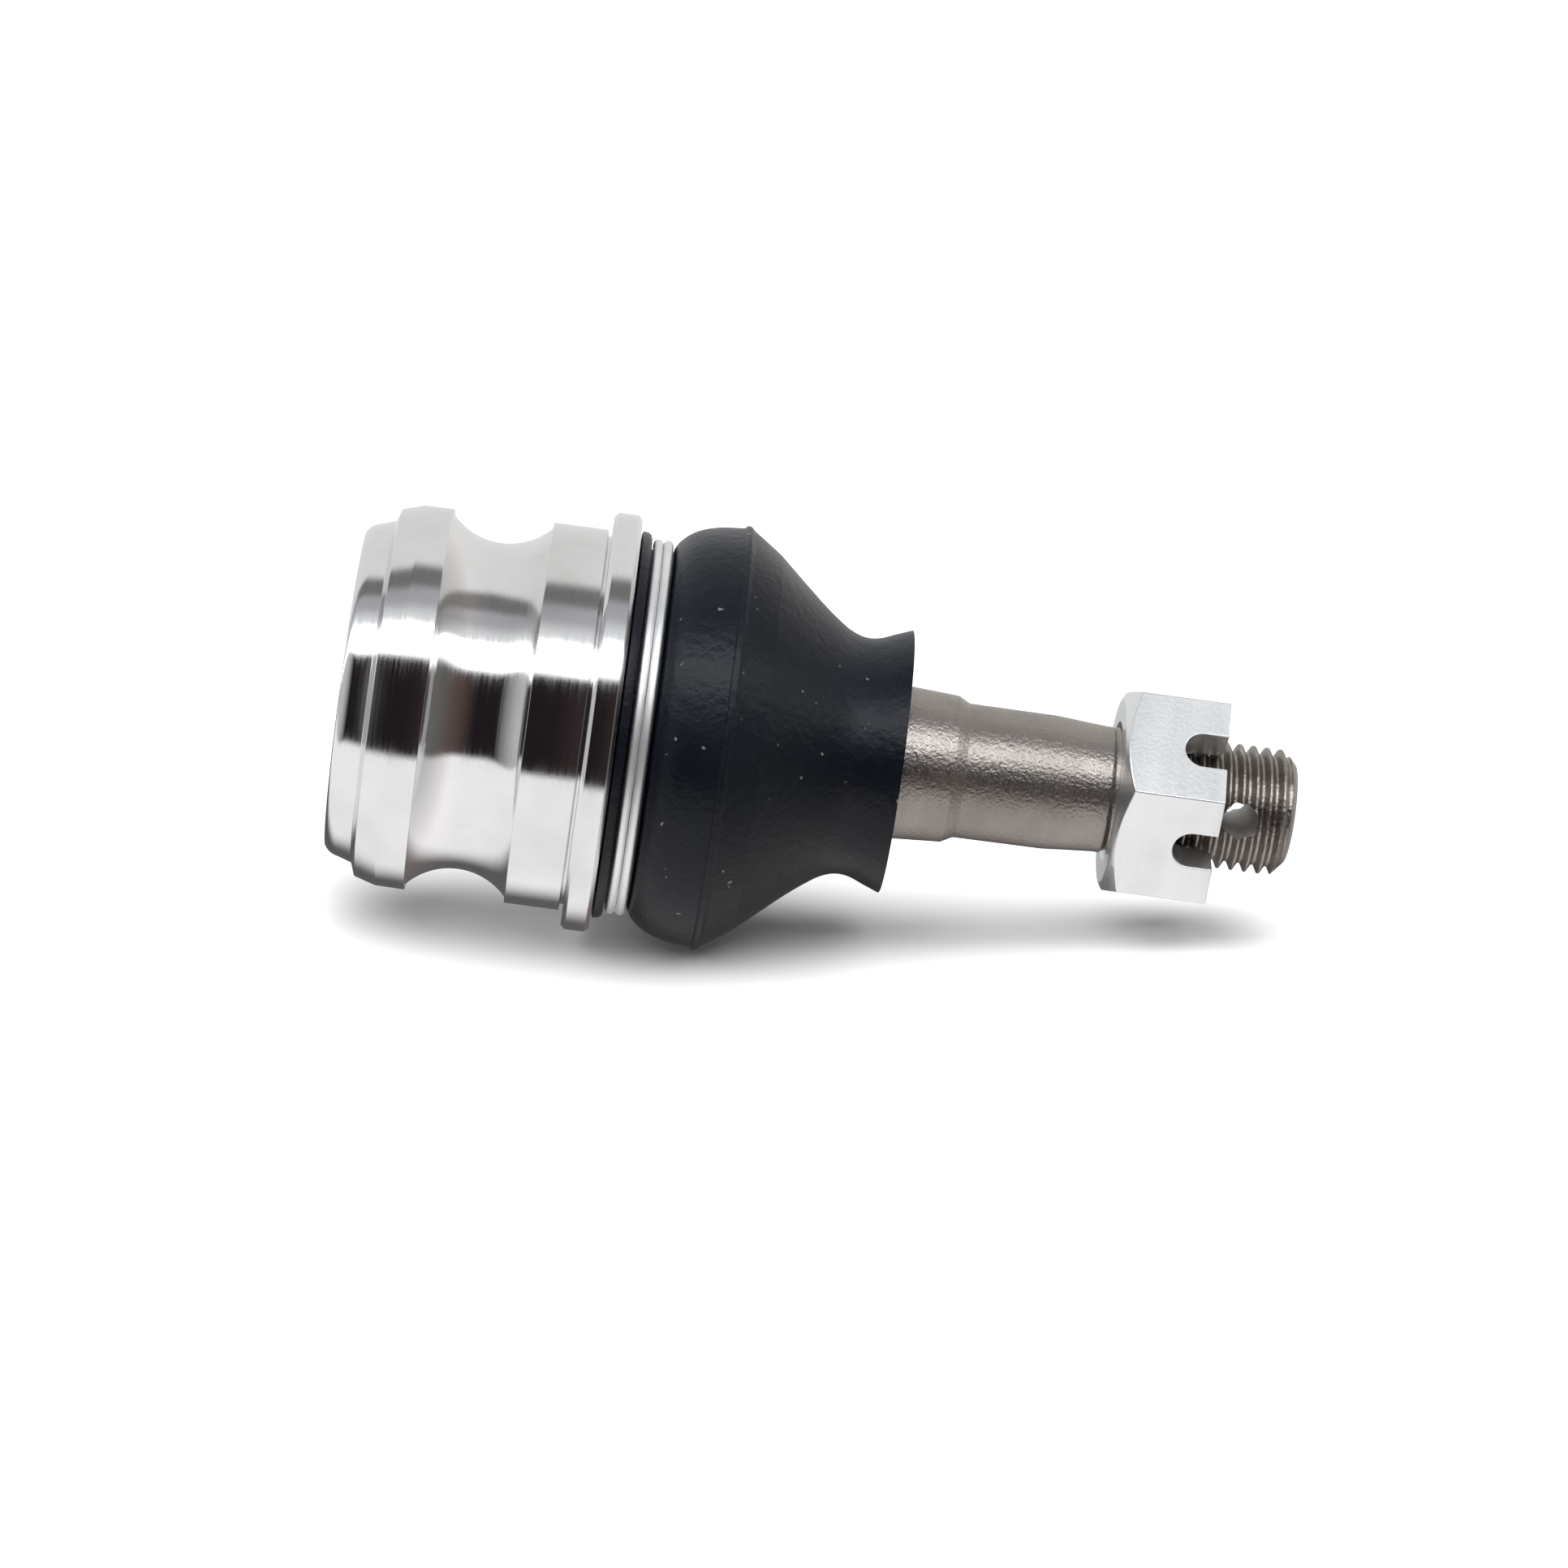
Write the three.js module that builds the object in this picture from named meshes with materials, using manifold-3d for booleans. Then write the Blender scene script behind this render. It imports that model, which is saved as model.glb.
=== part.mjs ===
// Clamped lower ball joint: a turned steel socket that a steering knuckle pinches in its groove, a ball stud
// with a tapered shank, a castle nut on its thread, and a rubber boot with its two rings.
//
// Millimetres. +X runs along the joint's axis from the closed end of the socket to the threaded tip of the
// stud, +Z is up. The origin is the centre of the end cover's outer face. A station is a distance along X.
import * as THREE from 'three';
import { mergeVertices } from 'three/addons/utils/BufferGeometryUtils.js';
import Module from 'manifold-3d';

const wasm = await Module();
wasm.setup();

// Driving dimensions ---------------------------------------------------------------------------------------
const FIT_GAP = 0.3; // kept between neighbouring solids
const SEGMENTS = 48; // facets round a turned piece
const EDGE_BREAK = 0.5; // chamfer on turned edges

const BALL_RADIUS = 13;
const BALL_STATION = 17;
const BALL_FLAT = 11.5; // ball centre to the flat behind it
const SEAT_WALL = 1.7;
const SEAT_BACK_STATION = 4;
const SEAT_REACH = 6.3; // how far past the ball's centre the upper seat holds it
const SEAT_BACK_HOLE = 6;
const WASHER_THICKNESS = 0.7;
const WASHER_INNER_RADIUS = 8;
const WASHER_OUTER_RADIUS = 14.6;

const COVER_RADIUS = 16;
const COVER_THICKNESS = 2;
const COVER_BEAD_DEPTH = 0.7; // of the ring pressed into its face
const COVER_BEAD_RADIUS = 9;
const COVER_BEAD_WIDTH = 4;

const SOCKET_RADIUS = 21; // clamped cylinder, 42 mm across
const ROLLED_EDGE_STATION = -1.3;
const ROLLED_EDGE_RADIUS = 17.6;
const LIP_OPENING = 14.2;
const LIP_CONE_STATION = 1.9; // where the rolled lip's cone meets the step up to the shoulder
const LIP_CONE_RADIUS = 19.35;
const STEP_STATION = 2.2;
const STEP_RADIUS = 20.25;
const SHOULDER_STATION = 4.4;
const GROOVE_STATION = 13.3; // middle of the pinch-bolt groove
const GROOVE_DEPTH = 3;
const GROOVE_HALF_WIDTH = 5.5;
const FLANGE_RADIUS = 23;
const FLANGE_STATION = 25.2;
const FLANGE_WIDTH = 3.1;
const NOSE_RADIUS = 18.4;
const NOSE_STATION = 32.6;
const MOUTH_RADIUS = 16.6; // of the stud's opening at the nose
const THROAT_RADIUS = 11.9; // of that opening at the seat
const THROAT_STATION = 24.2;

const RING_STATION = 29.8;
const RING_WIRE = 1.1; // the retaining ring is two turns of this wire
const RING_RADIUS = 20.7;

const BEAD_RADIUS = 20.9; // the boot's rim between the flange and its retaining ring
const BOOT_RIDGE_STATION = 40.1;
const BOOT_RIDGE_RADIUS = 23.5;
const BOOT_RIDGE_HALF_WIDTH = 0.3;
const BOOT_BULGE_RADIUS = 23; // beside the ridge
const BOOT_SHOULDER_STATION = 43.9;
const BOOT_SHOULDER_RADIUS = 20.9;
const BOOT_NECK_STATION = 54.2;
const BOOT_NECK_RADIUS = 12.9;
const BOOT_LIP_STATION = 59.3;
const BOOT_LIP_RADIUS = 14.5;
const BOOT_WALL = 2.6; // of the bulge
const NECK_RING_STATION = 55.5;
const NECK_RING_WIDTH = 1.9;
const NECK_RING_WALL = 1.5;

const STUD_NECK_RADIUS = 6.5;
const STUD_NECK_START = 29.2;
const STUD_NECK_END = 37.5;
const STUD_TAPER = 1 / 16; // radius per millimetre, a 1:8 taper
const STUD_TAPER_START = 43;
const STUD_TAPER_END = 65.3;
const STUD_TAPER_END_RADIUS = 8.1;
const SHANK_RADIUS = 7.4;
const SHANK_STATION = 66.6;
const SHANK_END = 76.5;
const THREAD_STATION = 82;
const THREAD_RADIUS = 6.95; // M14 x 1.5 over its crests
const THREAD_END = 101.7;
const TIP_STATION = 103.1;
const TIP_RADIUS = 5.4;
const COTTER_STATION = 97.1;
const COTTER_RADIUS = 2;

const NUT_STATION = 83.25;
const NUT_HEIGHT = 11.7;
const NUT_FLATS = 22; // across flats
const NUT_FACE_RADIUS = 10.25; // of the round faces that the 30 degree chamfers leave
const NUT_CHAMFER_SLOPE = Math.tan(THREE.MathUtils.degToRad(30));
const NUT_BORE = THREAD_RADIUS + FIT_GAP;
const NUT_TURN = THREE.MathUtils.degToRad(-14.5); // about +X, from a corner at -Y
const SLOT_WIDTH = 4.1;
const SLOT_DEPTH = 4.8;
const SLOT_COUNT = 6;

// Materials ------------------------------------------------------------------------------------------------
const turnedSteel = new THREE.MeshStandardMaterial({ color: 0xb8b9bb, roughness: 0.2, metalness: 1 });
const pressedSteel = new THREE.MeshStandardMaterial({ color: 0x9c9da0, roughness: 0.35, metalness: 1 });
const springSteel = new THREE.MeshStandardMaterial({ color: 0x5a5c60, roughness: 0.4, metalness: 1 });
const seatPolymer = new THREE.MeshStandardMaterial({ color: 0xe6e3d8, roughness: 0.45, metalness: 0 });
const ballSteel = new THREE.MeshStandardMaterial({ color: 0x857a70, roughness: 0.38, metalness: 1 });
const bootRubber = new THREE.MeshStandardMaterial({ color: 0x24272a, roughness: 0.55, metalness: 0 });
const zincWire = new THREE.MeshStandardMaterial({ color: 0xc4c6c9, roughness: 0.25, metalness: 1 });
const ringPolymer = new THREE.MeshStandardMaterial({ color: 0x2b2c2e, roughness: 0.4, metalness: 0 });
const zincNut = new THREE.MeshStandardMaterial({ color: 0xdcdfe2, roughness: 0.4, metalness: 1 });

// Shape helpers --------------------------------------------------------------------------------------------

// Points [station, radius] on an arc whose angle is counted from +X, in degrees.
function arc(station, radius, size, from, to, steps) {
  const points = [];
  for (let i = 0; i <= steps; i += 1) {
    const angle = THREE.MathUtils.degToRad(from + ((to - from) * i) / steps);
    points.push([station + size * Math.cos(angle), radius + size * Math.sin(angle)]);
  }
  return points;
}

// Points [station, radius] on a smooth curve through the given ones.
function curve(through, steps) {
  const spline = new THREE.SplineCurve(through.map(([station, radius]) => new THREE.Vector2(station, radius)));
  return spline.getPoints(steps).map((point) => [point.x, point.y]);
}

// The angle, in degrees, at which a circle of this size round the ball's centre reaches a distance past it.
function angleAt(distance, size) {
  return THREE.MathUtils.radToDeg(Math.acos(distance / size));
}

// The radius of the stud's tapered shank.
function taperRadius(station) {
  return STUD_TAPER_END_RADIUS + (STUD_TAPER_END - station) * STUD_TAPER;
}

// Turns an outline of [station, radius] points about the X axis. It starts and ends on the axis, or it is
// closed on itself here.
function turnedGeometry(outline) {
  const points = outline.map(([station, radius]) => new THREE.Vector2(radius, station));
  if (outline[0][1] > 0) {
    points.push(points[0].clone());
  }
  const geometry = new THREE.LatheGeometry(points, SEGMENTS);
  geometry.rotateZ(-Math.PI / 2);
  return geometry;
}

function solidOf(geometry) {
  const bare = geometry.clone();
  bare.deleteAttribute('normal');
  bare.deleteAttribute('uv');
  const merged = mergeVertices(bare, 1e-4);
  return new wasm.Manifold(
    new wasm.Mesh({
      numProp: 3,
      vertProperties: new Float32Array(merged.attributes.position.array),
      triVerts: new Uint32Array(merged.index.array),
    }),
  );
}

function geometryOf(solid) {
  const mesh = solid.getMesh();
  const geometry = new THREE.BufferGeometry();
  geometry.setAttribute('position', new THREE.BufferAttribute(mesh.vertProperties, 3));
  geometry.setIndex(new THREE.BufferAttribute(mesh.triVerts, 1));
  geometry.computeVertexNormals();
  return geometry;
}

function named(name, geometry, material) {
  const mesh = new THREE.Mesh(geometry, material);
  mesh.name = name;
  return mesh;
}

// Socket ---------------------------------------------------------------------------------------------------

function socketHousing() {
  const seatBore = BALL_RADIUS + FIT_GAP + SEAT_WALL + FIT_GAP;
  const coverBore = COVER_RADIUS + FIT_GAP;
  const coverSeat = COVER_THICKNESS + FIT_GAP;
  const seatEnd = SEAT_REACH + FIT_GAP;
  const grooveArc = (GROOVE_HALF_WIDTH ** 2 + GROOVE_DEPTH ** 2) / (2 * GROOVE_DEPTH);
  const grooveAngle = THREE.MathUtils.radToDeg(Math.asin(GROOVE_HALF_WIDTH / grooveArc));
  const grooveCentre = SOCKET_RADIUS - GROOVE_DEPTH + grooveArc;
  const flangeEnd = FLANGE_STATION + FLANGE_WIDTH;
  const outside = [
    [ROLLED_EDGE_STATION, ROLLED_EDGE_RADIUS - EDGE_BREAK],
    [ROLLED_EDGE_STATION + EDGE_BREAK, ROLLED_EDGE_RADIUS + EDGE_BREAK / 2],
    [LIP_CONE_STATION, LIP_CONE_RADIUS],
    [STEP_STATION, STEP_RADIUS],
    [SHOULDER_STATION, SOCKET_RADIUS],
    ...arc(GROOVE_STATION, grooveCentre, grooveArc, 270 - grooveAngle, 270 + grooveAngle, 12),
    [FLANGE_STATION, SOCKET_RADIUS],
    [FLANGE_STATION, FLANGE_RADIUS - EDGE_BREAK],
    [FLANGE_STATION + EDGE_BREAK, FLANGE_RADIUS],
    [flangeEnd - EDGE_BREAK, FLANGE_RADIUS],
    [flangeEnd, FLANGE_RADIUS - EDGE_BREAK],
    [flangeEnd, NOSE_RADIUS],
    [NOSE_STATION, NOSE_RADIUS],
  ];
  const inside = [
    [NOSE_STATION, MOUTH_RADIUS],
    [THROAT_STATION, THROAT_RADIUS],
    [BALL_STATION + seatEnd, THROAT_RADIUS],
    ...arc(BALL_STATION, 0, seatBore, angleAt(seatEnd, seatBore), 90, 5),
    [coverSeat, seatBore],
    [coverSeat, coverBore],
    [-FIT_GAP, coverBore],
    [-FIT_GAP, LIP_OPENING],
    [ROLLED_EDGE_STATION, LIP_OPENING + EDGE_BREAK],
  ];
  return named('socket_housing', turnedGeometry([...outside, ...inside]), turnedSteel);
}

function endCover() {
  const beadInner = COVER_BEAD_RADIUS - COVER_BEAD_WIDTH / 2;
  const beadOuter = COVER_BEAD_RADIUS + COVER_BEAD_WIDTH / 2;
  const outline = [
    [0, 0],
    [0, beadInner],
    [COVER_BEAD_DEPTH, beadInner + COVER_BEAD_DEPTH],
    [COVER_BEAD_DEPTH, beadOuter - COVER_BEAD_DEPTH],
    [0, beadOuter],
    [0, COVER_RADIUS - EDGE_BREAK],
    [EDGE_BREAK, COVER_RADIUS],
    [COVER_THICKNESS, COVER_RADIUS],
    [COVER_THICKNESS, 0],
  ];
  return named('end_cover', turnedGeometry(outline), pressedSteel);
}

// A dished spring washer that presses the seats on the ball.
function preloadWasher() {
  const back = COVER_THICKNESS + FIT_GAP;
  const front = SEAT_BACK_STATION - FIT_GAP;
  const outline = [
    [back, WASHER_INNER_RADIUS],
    [front - WASHER_THICKNESS, WASHER_OUTER_RADIUS],
    [front, WASHER_OUTER_RADIUS],
    [back + WASHER_THICKNESS, WASHER_INNER_RADIUS],
  ];
  return named('preload_washer', turnedGeometry(outline), springSteel);
}

function lowerSeat() {
  const cup = BALL_RADIUS + FIT_GAP;
  const outer = cup + SEAT_WALL;
  const holeAngle = 180 - THREE.MathUtils.radToDeg(Math.asin(SEAT_BACK_HOLE / cup));
  const split = angleAt(-FIT_GAP / 2, cup);
  const outline = [
    [SEAT_BACK_STATION, SEAT_BACK_HOLE],
    [SEAT_BACK_STATION, outer - EDGE_BREAK],
    [SEAT_BACK_STATION + EDGE_BREAK, outer],
    [BALL_STATION - FIT_GAP / 2, outer],
    ...arc(BALL_STATION, 0, cup, split, holeAngle, 9),
  ];
  return named('lower_seat', turnedGeometry(outline), seatPolymer);
}

function upperSeat() {
  const cup = BALL_RADIUS + FIT_GAP;
  const outer = cup + SEAT_WALL;
  const outline = [
    ...arc(BALL_STATION, 0, outer, angleAt(FIT_GAP / 2, outer), angleAt(SEAT_REACH, outer), 5),
    ...arc(BALL_STATION, 0, cup, angleAt(SEAT_REACH, cup), angleAt(FIT_GAP / 2, cup), 5),
  ];
  return named('upper_seat', turnedGeometry(outline), seatPolymer);
}

// Boot -----------------------------------------------------------------------------------------------------

function retainingRing() {
  const wire = RING_WIRE / 2;
  const middle = RING_RADIUS - wire;
  const first = RING_STATION + wire;
  const second = first + RING_WIRE;
  const outline = [
    [RING_STATION, middle - wire],
    ...arc(first, middle, wire, 180, 30, 5),
    ...arc(second, middle, wire, 150, 0, 5),
    [second + wire, middle - wire],
  ];
  return named('boot_retaining_ring', turnedGeometry(outline), zincWire);
}

function dustBoot() {
  const start = FLANGE_STATION + FLANGE_WIDTH + FIT_GAP;
  const ringSeatStart = RING_STATION - FIT_GAP;
  const ringSeatEnd = RING_STATION + 2 * RING_WIRE + FIT_GAP;
  const ringSeatRadius = RING_RADIUS - RING_WIRE - FIT_GAP;
  const noseBore = NOSE_RADIUS + FIT_GAP;
  const neckBore = taperRadius(NECK_RING_STATION) + 2 * FIT_GAP;
  const pocket = neckBore + NECK_RING_WALL + FIT_GAP;
  const ridgeStart = BOOT_RIDGE_STATION - BOOT_RIDGE_HALF_WIDTH;
  const ridgeEnd = BOOT_RIDGE_STATION + BOOT_RIDGE_HALF_WIDTH;
  const bulgeBore = BOOT_BULGE_RADIUS - BOOT_WALL;
  const bulge = curve(
    [
      [ringSeatEnd, ringSeatRadius + EDGE_BREAK],
      [ringSeatEnd + 1.6, BOOT_BULGE_RADIUS - 1.5],
      [ridgeStart - 3, BOOT_BULGE_RADIUS - 0.3],
      [ridgeStart - EDGE_BREAK, BOOT_BULGE_RADIUS],
    ],
    6,
  );
  const cone = curve(
    [
      [ridgeEnd + EDGE_BREAK, BOOT_BULGE_RADIUS - 0.1],
      [BOOT_SHOULDER_STATION, BOOT_SHOULDER_RADIUS],
      [(BOOT_SHOULDER_STATION + BOOT_NECK_STATION) / 2, (BOOT_SHOULDER_RADIUS + BOOT_NECK_RADIUS) / 2 - 0.8],
      [BOOT_NECK_STATION, BOOT_NECK_RADIUS],
      [BOOT_LIP_STATION, BOOT_LIP_RADIUS],
    ],
    12,
  );
  const outside = [
    [start, BEAD_RADIUS],
    [ringSeatStart, BEAD_RADIUS - 0.2],
    [ringSeatStart, ringSeatRadius],
    [ringSeatEnd, ringSeatRadius],
    ...bulge,
    [ridgeStart, BOOT_RIDGE_RADIUS],
    [ridgeEnd, BOOT_RIDGE_RADIUS],
    ...cone,
  ];
  const inside = [
    [BOOT_LIP_STATION, BOOT_LIP_RADIUS - 0.4],
    [NECK_RING_STATION + NECK_RING_WIDTH + 1.2, pocket],
    [NECK_RING_STATION - FIT_GAP, pocket],
    [NECK_RING_STATION - FIT_GAP, neckBore],
    [BOOT_NECK_STATION - 2, neckBore],
    [BOOT_SHOULDER_STATION - 1.7, BOOT_SHOULDER_RADIUS - 2.1],
    [BOOT_RIDGE_STATION, bulgeBore],
    [ringSeatEnd + 4.3, bulgeBore],
    [NOSE_STATION + FIT_GAP, noseBore],
    [start, noseBore],
  ];
  return named('dust_boot', turnedGeometry([...outside, ...inside]), bootRubber);
}

// The stiff ring in the boot's small end, which turns on the stud.
function neckRing() {
  const inner = taperRadius(NECK_RING_STATION) + FIT_GAP;
  const outer = inner + NECK_RING_WALL;
  const end = NECK_RING_STATION + NECK_RING_WIDTH;
  const outline = [
    [NECK_RING_STATION, inner],
    [NECK_RING_STATION, outer],
    [end - EDGE_BREAK, outer],
    [end, outer - EDGE_BREAK],
    [end, inner],
  ];
  return named('boot_neck_ring', turnedGeometry(outline), ringPolymer);
}

// Stud and nut ---------------------------------------------------------------------------------------------

function ballStud() {
  const flatAngle = 180 - angleAt(BALL_FLAT, BALL_RADIUS);
  const neckAngle = THREE.MathUtils.radToDeg(Math.asin((STUD_NECK_RADIUS + FIT_GAP) / BALL_RADIUS));
  const collar = curve(
    [
      [STUD_NECK_END, STUD_NECK_RADIUS],
      [STUD_TAPER_START - 2.5, STUD_NECK_RADIUS + 0.9],
      [STUD_TAPER_START - EDGE_BREAK, taperRadius(STUD_TAPER_START) - EDGE_BREAK],
    ],
    4,
  );
  const outline = [
    [BALL_STATION - BALL_FLAT, 0],
    ...arc(BALL_STATION, 0, BALL_RADIUS, flatAngle, neckAngle, 18),
    [STUD_NECK_START, STUD_NECK_RADIUS],
    ...collar,
    [STUD_TAPER_START, taperRadius(STUD_TAPER_START)],
    [STUD_TAPER_END, STUD_TAPER_END_RADIUS],
    [SHANK_STATION, SHANK_RADIUS],
    [SHANK_END, SHANK_RADIUS],
    [THREAD_STATION, THREAD_RADIUS],
    [THREAD_END, THREAD_RADIUS],
    [TIP_STATION, TIP_RADIUS],
    [TIP_STATION, 0],
  ];
  const cotterHole = new THREE.CylinderGeometry(COTTER_RADIUS, COTTER_RADIUS, 4 * THREAD_RADIUS, 24);
  cotterHole.translate(COTTER_STATION, 0, 0);
  const solid = solidOf(turnedGeometry(outline)).subtract(solidOf(cotterHole));
  return named('ball_stud', geometryOf(solid), ballSteel);
}

// A through-slot across the nut's thread end: straight sides and a round bottom.
function slotGeometry() {
  const half = SLOT_WIDTH / 2;
  const shape = new THREE.Shape();
  shape.moveTo(SLOT_DEPTH, half);
  shape.lineTo(-half, half);
  shape.absarc(-half, 0, half, Math.PI / 2, (3 * Math.PI) / 2, false);
  shape.lineTo(SLOT_DEPTH, -half);
  const geometry = new THREE.ExtrudeGeometry(shape, {
    depth: 2 * NUT_FLATS,
    bevelEnabled: false,
    curveSegments: 12,
  });
  geometry.translate(SLOT_WIDTH - SLOT_DEPTH, 0, -NUT_FLATS);
  return geometry;
}

function castleNut() {
  const cornerRadius = NUT_FLATS / Math.sqrt(3);
  const nutEnd = NUT_STATION + NUT_HEIGHT;
  const hexagon = new THREE.CylinderGeometry(cornerRadius, cornerRadius, NUT_HEIGHT, 6);
  hexagon.rotateZ(-Math.PI / 2);
  hexagon.rotateX(Math.PI / 6);
  hexagon.translate(NUT_STATION + NUT_HEIGHT / 2, 0, 0);
  const reach = cornerRadius + 1 - NUT_FACE_RADIUS;
  const chamfers = turnedGeometry([
    [NUT_STATION, 0],
    [NUT_STATION, NUT_FACE_RADIUS],
    [NUT_STATION + reach * NUT_CHAMFER_SLOPE, NUT_FACE_RADIUS + reach],
    [nutEnd - reach * NUT_CHAMFER_SLOPE, NUT_FACE_RADIUS + reach],
    [nutEnd, NUT_FACE_RADIUS],
    [nutEnd, 0],
  ]);
  const bore = turnedGeometry([
    [NUT_STATION - 1, 0],
    [NUT_STATION - 1, NUT_BORE + EDGE_BREAK + 1],
    [NUT_STATION + EDGE_BREAK, NUT_BORE],
    [nutEnd - EDGE_BREAK, NUT_BORE],
    [nutEnd + 1, NUT_BORE + EDGE_BREAK + 1],
    [nutEnd + 1, 0],
  ]);
  let solid = solidOf(hexagon).intersect(solidOf(chamfers)).subtract(solidOf(bore));
  for (let i = 0; i < SLOT_COUNT / 2; i += 1) {
    const slot = slotGeometry();
    slot.translate(nutEnd, 0, 0);
    slot.rotateX((2 * Math.PI * i) / SLOT_COUNT);
    solid = solid.subtract(solidOf(slot));
  }
  return named('castle_nut', geometryOf(solid), zincNut);
}

// Assembly -------------------------------------------------------------------------------------------------
const joint = new THREE.Group();
joint.add(
  socketHousing(),
  endCover(),
  preloadWasher(),
  lowerSeat(),
  upperSeat(),
  retainingRing(),
  dustBoot(),
  neckRing(),
  ballStud(),
);
const nut = castleNut();
nut.rotation.x = NUT_TURN;
joint.add(nut);

export default joint;
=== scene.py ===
"""Looks of the clamped lower ball joint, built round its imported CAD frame.

Metres, in the CAD's frame: +X along the joint's axis towards the thread, +Z up, and the origin at the
centre of the end cover's outer face. Outlines are in millimetres, as (station, radius) pairs, where a
station is a distance along X. A third number on a point is the radius its corner is rounded to.
"""

import math

import bmesh
import bpy
import numpy as np
from mathutils import Matrix, Vector


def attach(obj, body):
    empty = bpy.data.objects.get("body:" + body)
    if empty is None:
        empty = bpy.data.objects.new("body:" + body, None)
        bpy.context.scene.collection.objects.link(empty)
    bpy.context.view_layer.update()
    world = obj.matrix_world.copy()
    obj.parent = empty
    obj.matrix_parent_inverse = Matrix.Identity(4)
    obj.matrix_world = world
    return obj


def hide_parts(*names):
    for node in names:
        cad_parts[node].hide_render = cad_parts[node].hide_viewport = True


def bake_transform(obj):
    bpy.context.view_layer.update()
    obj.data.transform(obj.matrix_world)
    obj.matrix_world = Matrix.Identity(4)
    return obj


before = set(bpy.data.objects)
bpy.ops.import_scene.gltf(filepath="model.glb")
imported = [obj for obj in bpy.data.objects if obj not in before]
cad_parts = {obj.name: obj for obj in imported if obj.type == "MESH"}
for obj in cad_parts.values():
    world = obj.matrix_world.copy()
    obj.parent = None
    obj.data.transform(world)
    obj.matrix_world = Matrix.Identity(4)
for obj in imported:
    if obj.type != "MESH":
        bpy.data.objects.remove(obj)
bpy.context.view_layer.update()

MM = 0.001
ROUND = 192  # segments round a turned piece


# Meshes ---------------------------------------------------------------------------------------------

NEARLY_STRAIGHT = math.radians(177)
LONGEST_CUT = 0.48  # of a stretch of the outline, so the rounded corners at its two ends never meet


def at(station):
    """The point on the axis at a station."""
    return (station * MM, 0, 0)


def fillet(before, corner, after, size, steps):
    """Points of a rounded corner between two straight stretches of an outline."""
    corner = Vector(corner)
    to_before = Vector(before) - corner
    to_after = Vector(after) - corner
    opening = to_before.angle(to_after, math.pi)
    if opening > NEARLY_STRAIGHT:
        return [tuple(corner)]
    cut = size / math.tan(opening / 2)
    cut = min(cut, LONGEST_CUT * to_before.length, LONGEST_CUT * to_after.length)
    start = corner + to_before.normalized() * cut
    end = corner + to_after.normalized() * cut
    points = []
    for i in range(steps + 1):
        t = i / steps
        points.append(tuple(start.lerp(corner, t).lerp(corner.lerp(end, t), t)))
    return points


def rounded(outline, size=0.15, steps=4):
    """The outline with its corners rounded, to `size` where a point has no radius of its own."""
    flat = [point[:2] for point in outline]
    points = [flat[0]]
    for i in range(1, len(outline) - 1):
        own = outline[i][2] if len(outline[i]) > 2 else size
        if own:
            points += fillet(flat[i - 1], flat[i], flat[i + 1], own, steps)
        else:
            points.append(flat[i])
    points.append(flat[-1])
    return points


def arc(station, radius, size, start, end, steps):
    """Points on an arc, which rounded() leaves as they are. Angles are in degrees from +X."""
    angles = np.radians(np.linspace(start, end, steps + 1))
    return [(station + size * math.cos(a), radius + size * math.sin(a), 0) for a in angles]


def smooth(points, per_span=6):
    """A Catmull-Rom curve through the points."""
    ends = [points[0], *points, points[-1]]
    curve = []
    for i in range(1, len(ends) - 2):
        p0, p1, p2, p3 = (np.array(ends[i + k]) for k in (-1, 0, 1, 2))
        for t in np.linspace(0, 1, per_span, endpoint=False):
            bend = 2 * p1 + (p2 - p0) * t + (2 * p0 - 5 * p1 + 4 * p2 - p3) * t**2
            curve.append(tuple(0.5 * (bend + (3 * p1 - p0 - 3 * p2 + p3) * t**3)))
    curve.append(tuple(points[-1]))
    return curve


def new_mesh(name, built):
    """A mesh made of what was built, which is freed."""
    mesh = bpy.data.meshes.new(name)
    built.to_mesh(mesh)
    built.free()
    return mesh


def new_object(name, mesh, sharp=32):
    """An object for the mesh, smooth except across edges that turn by more than `sharp` degrees."""
    mesh.shade_smooth()
    mesh.set_sharp_from_angle(angle=math.radians(sharp))
    piece = bpy.data.objects.new(name, mesh)
    bpy.context.scene.collection.objects.link(piece)
    return piece


def turned(name, outline, radius_at=None, around=ROUND, closed=False, sharp=32):
    """An outline turned about the X axis, and joined end to end where it is closed.

    radius_at(station, radius, angle) may vary the radius round a ring.
    """
    built = bmesh.new()
    rings = []
    for point in outline:
        station, radius = point[0], point[1]
        x = station * MM
        if radius < 1e-6:
            rings.append([built.verts.new((x, 0, 0))])
            continue
        ring = []
        for i in range(around):
            angle = 2 * math.pi * i / around
            r = (radius_at(station, radius, angle) if radius_at else radius) * MM
            ring.append(built.verts.new((x, r * math.cos(angle), r * math.sin(angle))))
        rings.append(ring)
    pairs = list(zip(rings, rings[1:]))
    if closed:
        pairs.append((rings[-1], rings[0]))
    for low, high in pairs:
        for i in range(around):
            j = (i + 1) % around
            corners = [low[i % len(low)], low[j % len(low)], high[j % len(high)], high[i % len(high)]]
            built.faces.new(list(dict.fromkeys(corners)))
    bmesh.ops.recalc_face_normals(built, faces=built.faces)
    return new_object(name, new_mesh(name, built), sharp)


def apply_boolean(piece, cutter, operation):
    """Cuts the piece with the cutter, and removes the cutter."""
    modifier = piece.modifiers.new("cut", "BOOLEAN")
    modifier.operation = operation
    modifier.solver = "EXACT"
    modifier.object = cutter
    graph = bpy.context.evaluated_depsgraph_get()
    result = bpy.data.meshes.new_from_object(piece.evaluated_get(graph))
    piece.modifiers.clear()
    piece.data = result
    bpy.data.objects.remove(cutter)


# Materials ------------------------------------------------------------------------------------------


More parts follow.
